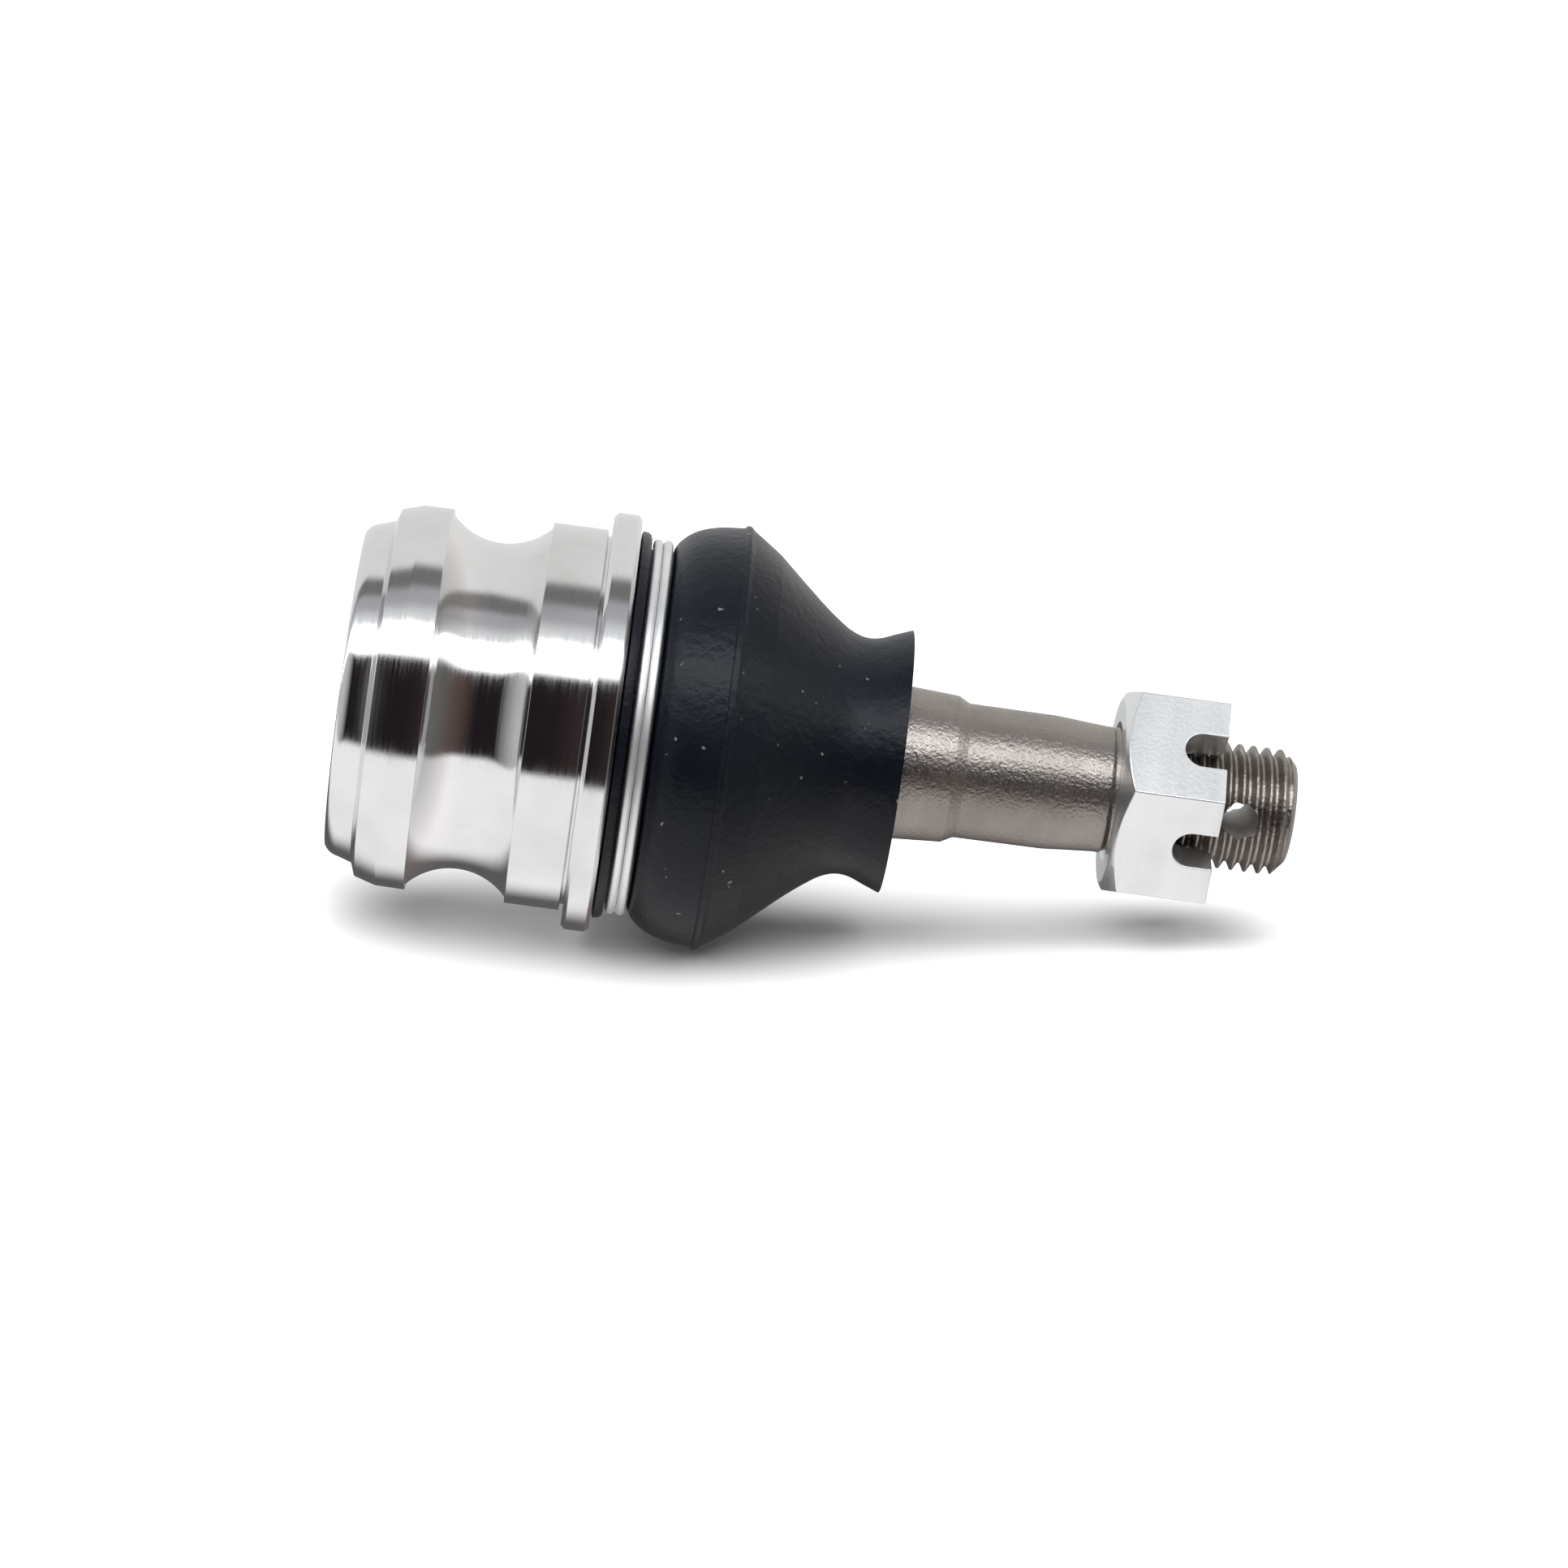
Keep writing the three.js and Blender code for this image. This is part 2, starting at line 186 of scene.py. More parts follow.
def new_material(name):
    material = bpy.data.materials.new(name)
    material.use_nodes = True
    return material, material.node_tree


def node(tree, kind, inputs=None, **settings):
    """A new node. Each input is a value, or another node's socket to be joined to it."""
    made = tree.nodes.new(kind)
    for key, value in settings.items():
        setattr(made, key, value)
    for key, value in (inputs or {}).items():
        if isinstance(value, bpy.types.NodeSocket):
            tree.links.new(value, made.inputs[key])
        else:
            made.inputs[key].default_value = value
    return made


def place(tree, scale=(1, 1, 1)):
    """Object coordinates, stretched."""
    where = node(tree, "ShaderNodeTexCoord").outputs["Object"]
    return node(tree, "ShaderNodeMapping", {"Vector": where, "Scale": scale}).outputs[0]


def noise(tree, count, detail, across=None):
    """Noise with `count` features to a metre, or with another count across the axis."""
    across = across or count
    where = place(tree, (count, across, across))
    inputs = {"Vector": where, "Scale": 1.0, "Detail": detail, "Roughness": 0.55}
    return node(tree, "ShaderNodeTexNoise", inputs).outputs[0]


def remap(tree, value, low, high, to_low, to_high, **settings):
    inputs = {"Value": value, "From Min": low, "From Max": high, "To Min": to_low, "To Max": to_high}
    return node(tree, "ShaderNodeMapRange", inputs, **settings).outputs[0]


def mix(tree, factor, a, b):
    return node(tree, "ShaderNodeMix", {0: factor, 6: a, 7: b}, data_type="RGBA").outputs[2]


def maths(tree, operation, a, b=0.0):
    return node(tree, "ShaderNodeMath", {0: a, 1: b}, operation=operation).outputs[0]


def vector_maths(tree, operation, *values):
    inputs = dict(enumerate(values))
    return node(tree, "ShaderNodeVectorMath", inputs, operation=operation).outputs[0]


def bump(tree, height, distance, normal=None):
    inputs = {"Height": height, "Strength": 1.0, "Distance": distance}
    if normal is not None:
        inputs["Normal"] = normal
    return node(tree, "ShaderNodeBump", inputs).outputs[0]


def shader(tree):
    return tree.nodes["Principled BSDF"]


def connect(tree, socket, name):
    tree.links.new(socket, shader(tree).inputs[name])


def metal(name, colour, tint, roughness, marks, marks_depth, grain, grain_depth):
    """Metal with machining marks along X, fine grain, and stains of a second tint.

    roughness is the lowest, the highest, and what a stain adds. marks and grain are how many there are
    to a metre. Depths are in metres.
    """
    lowest, highest, stained = roughness
    material, tree = new_material(name)
    shader(tree).inputs["Metallic"].default_value = 1.0
    stain = noise(tree, 90, detail=5)
    connect(tree, mix(tree, remap(tree, stain, 0.4, 0.75, 0, 1), colour, tint), "Base Color")
    rings = noise(tree, marks, detail=3, across=25)
    rough = remap(tree, rings, 0.3, 0.7, lowest, highest)
    patch = remap(tree, stain, 0.45, 0.75, 0, stained)
    connect(tree, maths(tree, "ADD", rough, patch), "Roughness")
    fine = noise(tree, grain, detail=2)
    connect(tree, bump(tree, fine, grain_depth, bump(tree, rings, marks_depth)), "Normal")
    return material


def turned_steel():
    return metal(
        "turned_steel",
        colour=(0.80, 0.80, 0.81, 1),
        tint=(0.70, 0.69, 0.68, 1),
        roughness=(0.07, 0.13, 0.05),
        marks=4200,
        marks_depth=4e-6,
        grain=3000,
        grain_depth=1.5e-6,
    )


def pressed_steel():
    return metal(
        "pressed_steel",
        colour=(0.62, 0.62, 0.62, 1),
        tint=(0.46, 0.44, 0.42, 1),
        roughness=(0.22, 0.32, 0.1),
        marks=300,
        marks_depth=1e-6,
        grain=1500,
        grain_depth=3e-6,
    )


def spring_steel():
    return metal(
        "spring_steel",
        colour=(0.3, 0.3, 0.32, 1),
        tint=(0.16, 0.14, 0.12, 1),
        roughness=(0.25, 0.4, 0.1),
        marks=300,
        marks_depth=1e-6,
        grain=1500,
        grain_depth=2e-6,
    )


def phosphated_steel():
    """Grainy warm grey steel, paler and duller in the cross hole and on the end faces.

    Those are the faces that lie nearer to the axis than the thread's root does.
    """
    material = metal(
        "phosphated_steel",
        colour=(0.35, 0.32, 0.30, 1),
        tint=(0.26, 0.235, 0.21, 1),
        roughness=(0.31, 0.39, 0.08),
        marks=2500,
        marks_depth=8e-7,
        grain=2500,
        grain_depth=9e-5,
    )
    cut_colour = (0.5, 0.49, 0.48, 1)
    cut_roughness = 0.3  # on top of the steel's own
    tree = material.node_tree
    parts = node(tree, "ShaderNodeSeparateXYZ", {0: place(tree)}).outputs
    squares = [maths(tree, "MULTIPLY", parts[i], parts[i]) for i in (1, 2)]
    radius = maths(tree, "SQRT", maths(tree, "ADD", squares[0], squares[1]))
    cut = remap(tree, radius, 5.7 * MM, 6.0 * MM, 1, 0)
    steel = shader(tree).inputs["Base Color"].links[0].from_socket
    rough = shader(tree).inputs["Roughness"].links[0].from_socket
    connect(tree, mix(tree, cut, steel, cut_colour), "Base Color")
    connect(tree, maths(tree, "ADD", rough, maths(tree, "MULTIPLY", cut, cut_roughness)), "Roughness")
    return material


def zinc_plate():
    return metal(
        "zinc_nut",
        colour=(0.89, 0.905, 0.91, 1),
        tint=(0.82, 0.83, 0.83, 1),
        roughness=(0.3, 0.38, 0.08),
        marks=500,
        marks_depth=8e-6,
        grain=2200,
        grain_depth=2e-5,
    )


def zinc_wire():
    return metal(
        "zinc_wire",
        colour=(0.88, 0.89, 0.90, 1),
        tint=(0.8, 0.8, 0.79, 1),
        roughness=(0.42, 0.5, 0.05),
        marks=500,
        marks_depth=5e-7,
        grain=2200,
        grain_depth=1e-6,
    )


def rubber():
    """Black rubber with a moulded skin, cloudy shine and a few specks of dust."""
    black, faded = (0.0008, 0.0016, 0.0045, 1), (0.003, 0.0045, 0.008, 1)
    dust_colour = (0.2, 0.2, 0.19, 1)
    material, tree = new_material("boot_rubber")
    shader(tree).inputs["Specular IOR Level"].default_value = 0.25
    cloud = noise(tree, 60, detail=6)
    colour = mix(tree, remap(tree, cloud, 0.35, 0.7, 0, 1), black, faded)
    specks = noise(tree, 1000, detail=1)
    dust = remap(tree, specks, 0.75, 0.8, 0, 0.6)
    connect(tree, mix(tree, dust, colour, dust_colour), "Base Color")
    connect(tree, remap(tree, cloud, 0.3, 0.7, 0.3, 0.44), "Roughness")
    coarse = bump(tree, noise(tree, 900, detail=4), 1.0e-4)
    connect(tree, bump(tree, noise(tree, 2600, detail=3), 3e-5, coarse), "Normal")
    return material


def polymer(name, colour, shade):
    material, tree = new_material(name)
    cloud = noise(tree, 120, detail=5)
    connect(tree, mix(tree, cloud, colour, shade), "Base Color")
    connect(tree, remap(tree, cloud, 0.3, 0.7, 0.36, 0.5), "Roughness")
    connect(tree, bump(tree, noise(tree, 1800, detail=2), 4e-6), "Normal")
    return material


def paint(piece, material):
    """Gives the piece this material alone."""
    piece.data.materials.clear()
    piece.data.materials.append(material)


def finish_piece(piece, material):
    paint(piece, material)


# Socket ---------------------------------------------------------------------------------------------


def socket():
    outline = [
        # The rolled edge that holds the cover.
        (-0.3, 16.3, 0),
        (-0.3, 14.2, 0),
        (-1.35, 14.6, 0.2),
        (-1.4, 17.0, 0.15),
        *arc(0.4, 16.3, 2.05, 150, 100, 10),
        (1.7, 18.85, 0.15),
        # The clamped cylinder, with the pinch bolt's groove.
        (2.2, 20.25, 0.2),
        (4.6, 20.96, 0.15),
        (7.85, 21.0, 0.15),
        *arc(13.3, 25.39, 7.39, 222.5, 317.5, 48),
        (18.75, 21.0, 0.15),
        (24.75, 21.0, 0.1),
        # The relief and the flange.
        (24.85, 20.3, 0.1),
        (25.2, 20.3, 0.1),
        (25.2, 22.55, 0.12),
        (25.65, 23.0, 0.12),
        (27.85, 23.0, 0.12),
        (28.3, 22.55, 0.12),
        # The nose that the boot sits on, and the socket's mouth.
        (28.3, 18.4, 0.1),
        (32.6, 18.4, 0.2),
        (32.6, 16.6, 0.1),
        (24.2, 11.9, 0.1),
        (23.6, 11.9, 0.1),
        # Inside, round the seats.
        *arc(17, 0, 15.3, 64.4, 90, 8),
        (2.3, 15.3, 0),
        (2.3, 16.3, 0),
        (-0.3, 16.3, 0),
    ]
    piece = turned("socket_turned", rounded(outline)[:-1], closed=True)
    finish_piece(piece, turned_steel())
    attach(piece, "housing")
    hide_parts("socket_housing")


def cover():
    """A pressed disc with a shallow ring sunk in its face."""
    outline = [
        (0, 0),
        (0, 7.0, 0.5),
        (0.7, 7.7, 0.5),
        (0.7, 10.3, 0.5),
        (0, 11.0, 0.5),
        (0, 15.5, 0.3),
        (0.5, 16.0, 0.2),
        (2.0, 16.0, 0.1),
        (2.0, 0),
    ]
    piece = turned("cover_pressed", rounded(outline))
    finish_piece(piece, pressed_steel())
    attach(piece, "housing")
    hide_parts("end_cover")


def retaining_ring():
    """Two flat turns of wire. It steps from one to the other in a short stretch, between its ends."""
    wire = 0.55  # radius
    first_side = 29.8
    outer = 20.7
    step = math.radians(24)
    gap = math.radians(4)
    where = math.radians(60)  # the step's place, behind and above, from +Y
    ends = (0.55, 0.88)  # the wire's share of its size at its last two rings, so its ends are rounded
    steps, sides = 2 * ROUND, 16
    built = bmesh.new()
    rings = []
    for i in range(steps + 1):
        turn = gap + (4 * math.pi - 2 * gap) * i / steps
        t = min(max((turn - (2 * math.pi - step / 2)) / step, 0), 1)
        centre = Vector(at(first_side + wire + 2 * wire * t * t * (3 - 2 * t)))
        out = Vector((0, math.cos(turn + where), math.sin(turn + where)))
        centre += out * (outer - wire) * MM
        size = wire * MM * (*ends, 1.0)[min(i, steps - i, 2)]
        ring = []
        for k in range(sides):
            angle = 2 * math.pi * k / sides
            across = Vector((1, 0, 0)) * math.cos(angle) + out * math.sin(angle)
            ring.append(built.verts.new(centre + across * size))
        rings.append(ring)
    for low, high in zip(rings, rings[1:]):
        for k in range(sides):
            j = (k + 1) % sides
            built.faces.new((low[k], low[j], high[j], high[k]))
    built.faces.new(rings[0])
    built.faces.new(rings[-1])
    bmesh.ops.recalc_face_normals(built, faces=built.faces)
    piece = new_object("ring_wire", new_mesh("ring_wire", built), sharp=40)
    finish_piece(piece, zinc_wire())
    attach(piece, "housing")
    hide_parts("boot_retaining_ring")


def hidden_pieces():
    """The CAD's own shapes, which nothing shows, with finished materials."""
    seat = polymer("seat_polymer", (0.86, 0.84, 0.77, 1), (0.78, 0.75, 0.66, 1))
    for name in ("lower_seat", "upper_seat"):
        paint(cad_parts[name], seat)
    paint(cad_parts["preload_washer"], spring_steel())


# Boot -----------------------------------------------------------------------------------------------

BOOT_SPLIT = 43.9  # the two halves of the boot meet at this station
REST_HEIGHT = 22.75  # the axis above the floor, where the boot's ridge lies flattened on it


def flattened(station, radius, angle):
    """The boot's radius, pressed flat where it lies on the floor."""
    down = -math.sin(angle)
    return min(radius, REST_HEIGHT / down) if down > 0.5 else radius


def boot_halves():
    """One thin skin in two pieces, each with its wall inside."""
    bead = [
        (28.45, 18.75),
        (28.45, 21.15),
        (28.6, 21.35),
        (29.2, 21.25),
        (29.5, 21.0),
        (29.62, 20.6),
        (29.65, 19.5),
        (32.12, 19.5),
    ]
    bulge = [
        (32.2, 19.9),
        (32.7, 20.75),
        (33.8, 21.75),
        (35.2, 22.45),
        (37, 22.9),
        (39, 23.1),
        (39.55, 23.15),
    ]
    ridge = [(39.7, 23.36), (39.95, 23.46), (40.25, 23.4), (40.5, 23.15), (40.7, 22.95)]
    shoulder = [(40.9, 22.82), (42.4, 21.8), (BOOT_SPLIT, 20.75)]
    cone = [
        (BOOT_SPLIT, 20.75),
        (45.3, 19.5),
        (47, 18.0),
        (49.2, 16.1),
        (51, 14.7),
        (52.6, 13.65),
        (54.2, 13.1),
        (55.8, 13.2),
        (57.5, 13.85),
        (59.2, 14.5),
    ]
    lip = [(59.3, 14.5), (59.28, 14.25)]
    inside_flare = [(58.4, 13.3), (57.5, 12.4), (56.6, 11.3), (55.2, 10.9), (55.2, 9.25)]
    inside_cone = [(52.4, 9.25), (52.2, 12.2), (51, 13.3), (49.2, 14.9), (47, 17.0), (45.3, 18.7)]
    inside_split = (BOOT_SPLIT, 20.0)
    inside_bulge = [(42.4, 20.8), (40.4, 21.4), (37, 21.0), (33.8, 19.6), (32.9, 18.75)]
    large = bead + smooth(bulge) + ridge + smooth(shoulder) + smooth([inside_split, *inside_bulge])
    small = smooth(cone, 8) + lip + inside_flare + inside_cone + [inside_split]
    material = rubber()
    halves = [
        turned("boot_large_end", large, radius_at=flattened),
        turned("boot_small_end", small, radius_at=flattened),
    ]
    for piece in halves:
        finish_piece(piece, material)
        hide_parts("dust_boot")
    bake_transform(halves[0])
    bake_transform(halves[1])


def neck_ring():
    outline = [
        (55.5, 9.02, 0),
        (55.5, 10.5, 0.1),
        (57.4, 10.5, 0.25),
        (57.4, 9.02, 0.25),
        (55.5, 9.02, 0),
    ]
    piece = turned("neck_ring_moulded", rounded(outline)[:-1], closed=True)
    material = polymer("ring_polymer", (0.05, 0.05, 0.055, 1), (0.09, 0.09, 0.09, 1))
    finish_piece(piece, material)
    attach(piece, "boot_neck")
    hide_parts("boot_neck_ring")


# Stud -----------------------------------------------------------------------------------------------

PITCH = 1.5  # of the M14 thread
THREAD_CREST = 6.95
THREAD_DEPTH = 0.88
THREAD_PHASE = 0.73  # of a turn, where the crests stand
THREAD_START, THREAD_END = 82, 102.9
THREAD_STEP = 0.075  # between rings
ROOT_SHARE, FLANK_SHARE = 0.2, 0.65  # of half a pitch; the rest is the crest
COTTER_STATION = 97.1


def thread_radius(station, radius, angle):
    """The stud's radius with its right-hand thread cut in, run out at its start and the tip's cone."""
    if not THREAD_START < station < THREAD_END:
        return radius
    phase = (station / PITCH + THREAD_PHASE - angle / (2 * math.pi)) % 1.0
    flank = min(max((abs(phase - 0.5) * 2 - ROOT_SHARE) / FLANK_SHARE, 0), 1)
    run_in = min(max((station - THREAD_START - 0.5) / 2, 0), 1)
    cut = THREAD_DEPTH * (1 - flank) * run_in
    return min(radius, THREAD_CREST - cut)


def cotter_cutter(station, radius, countersink):
    """A round bar along Y that opens into a cone at each side, for the cotter pin's hole."""
    entry = THREAD_CREST - (countersink - radius) / 2
    reach = 9  # beyond the stud
    half = [(y, radius) for y in np.linspace(0, entry, 12)]
    half += [(reach, radius + 2 * (reach - entry)), (reach, 0)]
    outline = [(-y, r) for y, r in reversed(half[1:])] + half
    cutter = turned("cotter_cutter", outline, around=64)
    along_y = Matrix.Rotation(math.pi / 2, 4, "Z")
    cutter.data.transform(Matrix.Translation(at(station)) @ along_y)
    return cutter


def stud():
    shank = [
        # The ball, with a flat on its closed side.
        (5.5, 0),
        (5.5, 6.06, 0.3),
        *arc(17, 0, 13, 152.2, 32.5, 40),
        # The neck, which widens to the taper, and the step at the taper's small end.
        (29.1, 6.5, 0.6),
        (37.5, 6.5, 3),
        (40.5, 7.4, 1.5),
        (42.3, 9.0, 0.6),
        (43, 9.49, 0.5),
        (65.3, 8.1, 0.25),
        (66.6, 7.42, 0.3),
        # The plain length before the thread.
        (76.4, 7.38, 1.2),
        (79.2, 7.15, 1.2),
        (81.9, THREAD_CREST, 0.3),
        (THREAD_START, THREAD_CREST, 0),
    ]
    cone_start, tip, tip_radius = 101.7, 103.1, 5.4
    slope = (THREAD_CREST - tip_radius) / (tip - cone_start)
    turns = np.arange(THREAD_START + THREAD_STEP, cone_start, THREAD_STEP)
    thread = [(s, THREAD_CREST) for s in turns]
    cone = [(s, THREAD_CREST - slope * (s - cone_start)) for s in np.arange(cone_start, tip - 0.1, 0.1)]
    end = [(tip - 0.04, tip_radius + 0.02), (tip, tip_radius - 0.12), (tip, 0)]
    outline = rounded(shank) + thread + cone + end
    sharp = 38
    piece = turned("stud_turned", outline, radius_at=thread_radius, sharp=sharp)
    apply_boolean(piece, cotter_cutter(COTTER_STATION, radius=2.0, countersink=2.6), "DIFFERENCE")
    piece.data.set_sharp_from_angle(angle=math.radians(sharp))
    finish_piece(piece, phosphated_steel())
    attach(piece, "stud")
    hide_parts("ball_stud")


# Nut ------------------------------------------------------------------------------------------------

NUT_FLATS = 22.0
NUT_START, NUT_END = 83.25, 94.45
NUT_TURN = math.radians(-14.5)
NUT_EDGE = 0.13  # the bevel's width
CHAMFER_RADIUS = 10.25  # where the bearing side's chamfer starts
CHAMFER_SLOPE = math.tan(math.radians(30))
BORE_RADIUS = 7.1
BORE_MOUTH = 8.6  # the bore's radius a millimetre outside the nut
SLOT_WIDTH, SLOT_DEPTH = 4.1, 4.7
PAST = 1  # how far the cutters reach past the nut's ends


def hexagon():
    corner = NUT_FLATS / math.sqrt(3) * MM
    depth = (NUT_END - NUT_START) * MM
    built = bmesh.new()
    bmesh.ops.create_cone(
        built, cap_ends=True, segments=6, radius1=corner, radius2=corner, depth=depth
    )
    mesh = new_mesh("nut_forged", built)
    along_x = Matrix.Rotation(math.pi / 2, 4, "Y")
    mesh.transform(Matrix.Translation(at((NUT_START + NUT_END) / 2)) @ along_x)
    return new_object("nut_forged", mesh)


def chamfer_keeper():
    """A round body that leaves the nut whole but for the chamfer on its bearing side."""
    reach = 3.0
    wide = CHAMFER_RADIUS + reach
    outline = [
        (NUT_START, 0),
        (NUT_START, CHAMFER_RADIUS),
        (NUT_START + reach * CHAMFER_SLOPE, wide),
        (NUT_END + PAST, wide),
        (NUT_END + PAST, 0),
    ]
    return turned("chamfer_keeper", outline)


def bore_cutter():
    """The tapped hole, countersunk at both ends."""
    outline = [
        (NUT_START - PAST, 0),
        (NUT_START - PAST, BORE_MOUTH),
        (NUT_START + 0.5, BORE_RADIUS),
        (NUT_END - 0.5, BORE_RADIUS),
        (NUT_END + PAST, BORE_MOUTH),
        (NUT_END + PAST, 0),
    ]
    return turned("bore_cutter", outline, around=96)


def slot_cutter(turn):
    """A bar through the axis with a round bottom, open towards +X. It lies along Z before its turn."""
    half = SLOT_WIDTH / 2
    bottom = NUT_END - SLOT_DEPTH + half
    outline = [(NUT_END + PAST, -half), (NUT_END + PAST, half)]
    for angle in np.linspace(0, math.pi, 17):
        outline.append((bottom - half * math.sin(angle), half * math.cos(angle)))
    built = bmesh.new()
    ends = []
    for z in (-20, 20):
        ends.append([built.verts.new((s * MM, y * MM, z * MM)) for s, y in outline])
    built.faces.new(ends[0])
    built.faces.new(ends[1])
    for i in range(len(outline)):
        j = (i + 1) % len(outline)
        built.faces.new((ends[0][i], ends[0][j], ends[1][j], ends[1][i]))
    bmesh.ops.recalc_face_normals(built, faces=built.faces)
    cutter = new_object("slot_cutter", new_mesh("slot_cutter", built))
    cutter.data.transform(Matrix.Rotation(turn, 4, "X"))
    return cutter


def round_edges(piece):
    """Bevels the piece's edges and keeps its faces flat."""
    piece.data.shade_smooth()
    modifier = piece.modifiers.new("edges", "BEVEL")
    modifier.width = NUT_EDGE * MM
    modifier.segments = 2
    modifier.limit_method = "ANGLE"
    modifier.angle_limit = math.radians(28)
    modifier.use_clamp_overlap = True
    piece.modifiers.new("flat_faces", "WEIGHTED_NORMAL").weight = 100
    graph = bpy.context.evaluated_depsgraph_get()
    piece.data = bpy.data.meshes.new_from_object(
        piece.evaluated_get(graph), preserve_all_data_layers=True, depsgraph=graph
    )
    piece.modifiers.clear()


def castle_nut():
    nut = hexagon()
    apply_boolean(nut, chamfer_keeper(), "INTERSECT")
    apply_boolean(nut, bore_cutter(), "DIFFERENCE")
    for i in range(3):
        apply_boolean(nut, slot_cutter(math.pi * i / 3), "DIFFERENCE")
    nut.data.transform(Matrix.Rotation(NUT_TURN, 4, "X"))
    round_edges(nut)
    finish_piece(nut, zinc_plate())
    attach(nut, "nut")
    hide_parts("castle_nut")


# Light ----------------------------------------------------------------------------------------------

CAMERA_RISE = math.radians(13.878)  # the camera looks down by this much
DIM = (0.016, 0.012, 0.014)  # a dark screen stands wherever there is no panel
UNDERSIDE = (0.10, 0.10, 0.10)
PANELS = (
    # Start and end as angles round X, from the viewer's side upwards; the fade at each; the colour.
    ("table", -121, -23, 30, 6, (0.99, 0.985, 0.99)),
    ("strip", 40, 57.5, 12, 3, (5.0, 5.1, 5.2)),
    ("ceiling_near", 57.5, 68, 3, 12, (0.77, 0.79, 0.80)),
    ("ceiling_far", 68, 83, 12, 7, (0.42, 0.43, 0.45)),
    ("rail", 83, 99, 7, 9, (0.17, 0.175, 0.17)),
    ("wall", 99, 180, 9, 0.1, (0.77, 0.78, 0.77)),
    ("wall_foot", -180, -165, 0.1, 6, (0.77, 0.78, 0.77)),
    ("under", -165, -121, 6, 30, UNDERSIDE),
)
THREAD_END_DIMMING = (0.45, 0.95, 0.42)  # the panels dim between the first X and the second, to this
GLOWS = (
    # Start and end as X on a sphere of radius 1; the colour; how the glow joins the panels.
    ("thread_side", 0.0, 0.55, (0.09, 0.065, 0.055), "ADD"),
    ("thread_end", 0.6, 1.0, (0.05, 0.08, 0.08), "ADD"),
    ("cover_end", -0.6, -1.0, (0.6, 0.6, 0.6), "MAXIMUM"),
)
DOME = 0.2  # the even light that dull surfaces get, beside the lamp
BACKDROP = 1.02  # the white that the camera sees
NEARNESS = 0.5  # how far a direction along the axis is drawn towards the viewer's


def panel_light(tree, angle):
    """The sum of the panels, each fading in and out over its own few degrees."""
    total = node(tree, "ShaderNodeCombineXYZ", dict(enumerate(DIM))).outputs[0]
    for _, start, end, fade_in, fade_out, colour in PANELS:
        masks = []
        for edge, fade, low, high in ((start, fade_in, 0, 1), (end, fade_out, 1, 0)):
            first, last = math.radians(edge - fade / 2), math.radians(edge + fade / 2)
            masks.append(
                remap(tree, angle, first, last, low, high, interpolation_type="SMOOTHSTEP")
            )
        mask = maths(tree, "MULTIPLY", masks[0], masks[1])
        total = vector_maths(tree, "MULTIPLY_ADD", colour, mask, total)
    return total


def reflected_light(tree):
    """What a glossy surface reflects: long panels beside the part, and a glow at each end of it.

    The panels are near and long, so a sloped face shows each one at the height where the cylinder
    beside it does.
    """
    where = node(tree, "ShaderNodeTexCoord").outputs["Generated"]
    parts = node(tree, "ShaderNodeSeparateXYZ", {0: where}).outputs
    end_on = maths(tree, "ABSOLUTE", parts[0])
    nearness = maths(tree, "MULTIPLY", maths(tree, "POWER", end_on, 3.0), NEARNESS)
    toward = maths(tree, "MULTIPLY", parts[1], -1.0)
    toward = maths(tree, "ADD", toward, maths(tree, "MULTIPLY", nearness, math.cos(CAMERA_RISE)))
    up = maths(tree, "ADD", parts[2], maths(tree, "MULTIPLY", nearness, math.sin(CAMERA_RISE)))
    light = panel_light(tree, maths(tree, "ARCTAN2", up, toward))
    start, end, dimmest = THREAD_END_DIMMING
    light = vector_maths(tree, "MULTIPLY", light, remap(tree, parts[0], start, end, 1, dimmest))
    for _, start, end, colour, join in GLOWS:
        glow = vector_maths(tree, "MULTIPLY", colour, remap(tree, parts[0], start, end, 0, 1))
        light = vector_maths(tree, join, light, glow)
    return light


def background(tree, colour, strength):
    inputs = {"Color": colour, "Strength": strength}
    return node(tree, "ShaderNodeBackground", inputs).outputs[0]


def studio_light():
    """Panels for the reflections, a plain dome for dull surfaces, and white for the camera."""
    world = bpy.data.worlds.new("studio")
    bpy.context.scene.world = world
    world.use_nodes = True
    tree = world.node_tree
    tree.nodes.clear()
    reflected = background(tree, reflected_light(tree), 1.0)
    dome = background(tree, (1, 1, 1, 1), DOME)
    white = background(tree, (1, 1, 1, 1), BACKDROP)
    path = node(tree, "ShaderNodeLightPath").outputs
    lit = node(tree, "ShaderNodeMixShader", {0: path["Is Glossy Ray"], 1: dome, 2: reflected})
    seen = node(tree, "ShaderNodeMixShader", {0: path["Is Camera Ray"], 1: lit.outputs[0], 2: white})
    node(tree, "ShaderNodeOutputWorld", {0: seen.outputs[0]})


def overhead_lamp():
    """One wide lamp overhead, for soft shadows. Glossy surfaces show the panels instead of it."""
    lamp = bpy.data.lights.new("lamp_overhead", "SUN")
    lamp.energy = 5.2
    lamp.angle = math.radians(92)
    overhead = bpy.data.objects.new("lamp_overhead", lamp)
    overhead.rotation_euler = (math.radians(14), math.radians(-9), 0)
    overhead.visible_glossy = False
    bpy.context.scene.collection.objects.link(overhead)


# Stage and camera -----------------------------------------------------------------------------------

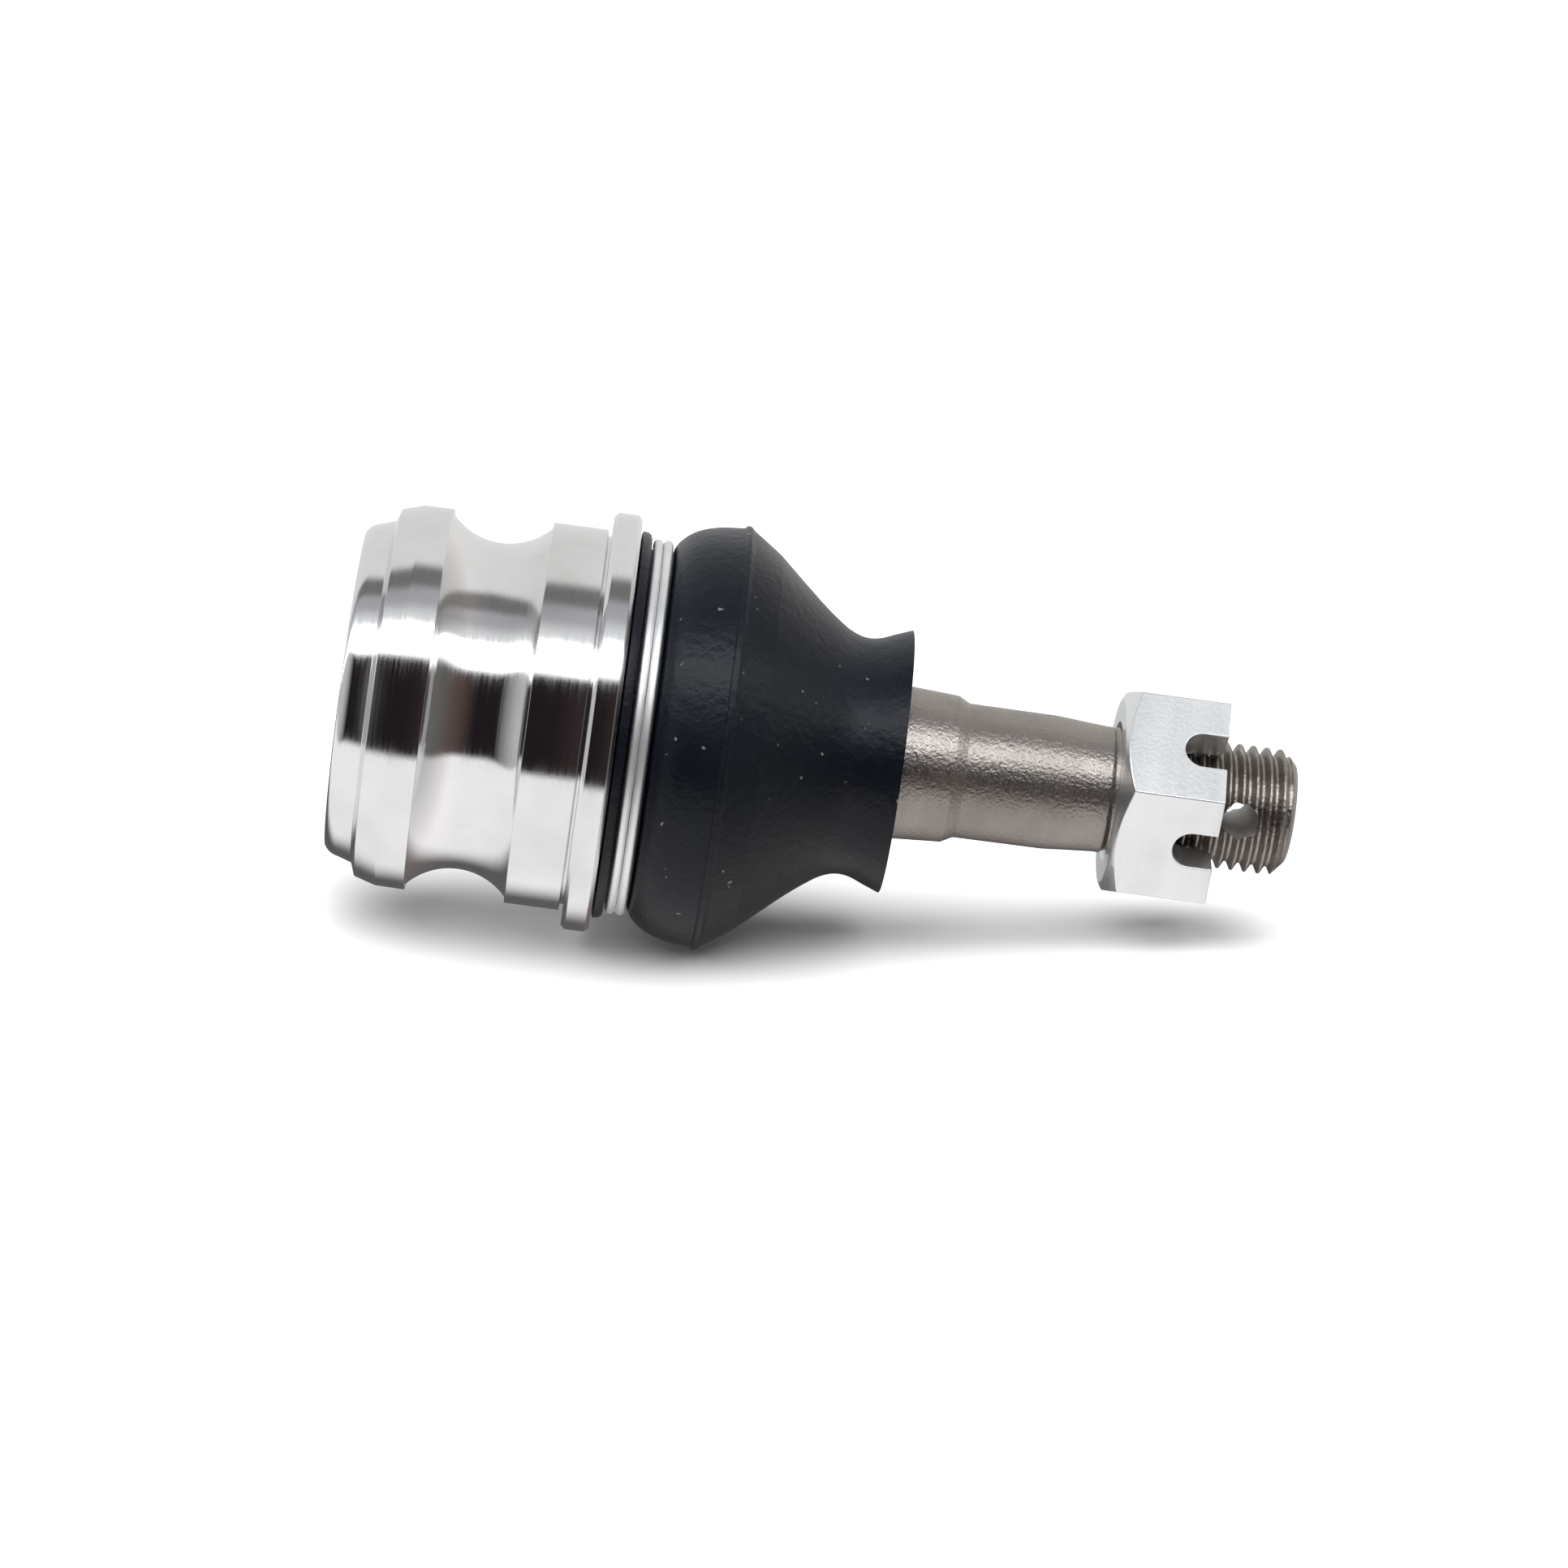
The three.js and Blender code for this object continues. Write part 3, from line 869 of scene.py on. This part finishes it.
CONTACT = 40  # the station where the boot's ridge lies on the floor
FLOOR_REACH = 3.0  # metres from the origin to the sheet's edges
FLOOR_SLOPE = math.tan(math.radians(9))
FLOOR_RISE = (0.03, 0.112)  # metres along X, between which the sheet rises
FLOOR_SOFTNESS = 0.01  # metres over which the slope starts and ends
FLOOR_GAP = 1e-4  # metres that the sheet lies lower than the boot


def slope_length(x):
    """How much of the slope lies before x, with a soft start and end."""
    foot, head = FLOOR_RISE
    before_foot = np.logaddexp(0, (x - foot) / FLOOR_SOFTNESS)
    before_head = np.logaddexp(0, (x - head) / FLOOR_SOFTNESS)
    return FLOOR_SOFTNESS * (before_foot - before_head)


def floor():
    """A white sheet that touches the boot and rises under the stud, level before and behind that."""
    level = -REST_HEIGHT * MM - FLOOR_GAP - FLOOR_SLOPE * slope_length(CONTACT * MM)
    xs = np.concatenate(
        [
            np.linspace(-FLOOR_REACH, -0.08, 24),
            np.linspace(-0.07, 0.16, 93),  # close rows where the sheet curves
            np.linspace(0.18, FLOOR_REACH, 24),
        ]
    )
    ys = (-FLOOR_REACH, -0.4, 0.4, FLOOR_REACH)
    built = bmesh.new()
    rows = []
    for x in xs:
        z = level + FLOOR_SLOPE * slope_length(x)
        rows.append([built.verts.new((x, y, z)) for y in ys])
    for low, high in zip(rows, rows[1:]):
        for i in range(len(ys) - 1):
            built.faces.new((low[i], high[i], high[i + 1], low[i + 1]))
    sheet = new_object("floor", new_mesh("floor", built))
    material, tree = new_material("floor_white")
    values = {
        "Base Color": (0.85, 0.85, 0.85, 1),
        "Roughness": 1.0,
        "Specular IOR Level": 0.0,
        "Emission Color": (1, 1, 1, 1),
        "Emission Strength": 0.04,
    }
    for name, value in values.items():
        shader(tree).inputs[name].default_value = value
    paint(sheet, material)
    sheet.visible_glossy = False


def camera():
    """A long lens that looks down at the joint's middle, rolled as the photograph's was."""
    data = bpy.data.cameras.new("camera")
    data.lens = 125
    data.sensor_width = 36
    data.clip_start, data.clip_end = 0.05, 20
    eye = bpy.data.objects.new("camera", data)
    bpy.context.scene.collection.objects.link(eye)
    aim = Vector((0.04753, 0, -0.00419))
    distance = 0.5983
    azimuth, roll = math.radians(-2.472), math.radians(8.2)
    level = math.cos(CAMERA_RISE)
    back = Vector(
        (math.sin(azimuth) * level, -math.cos(azimuth) * level, math.sin(CAMERA_RISE))
    )
    look = (-back).to_track_quat("-Z", "Y").to_matrix().to_4x4()
    place_eye = Matrix.Translation(aim + back * distance)
    eye.matrix_world = place_eye @ look @ Matrix.Rotation(roll, 4, "Z")
    bpy.context.scene.camera = eye


bpy.context.scene.view_settings.view_transform = "Standard"
camera()
floor()
studio_light()
overhead_lamp()
socket()
cover()
retaining_ring()
hidden_pieces()
boot_halves()
neck_ring()
stud()
castle_nut()
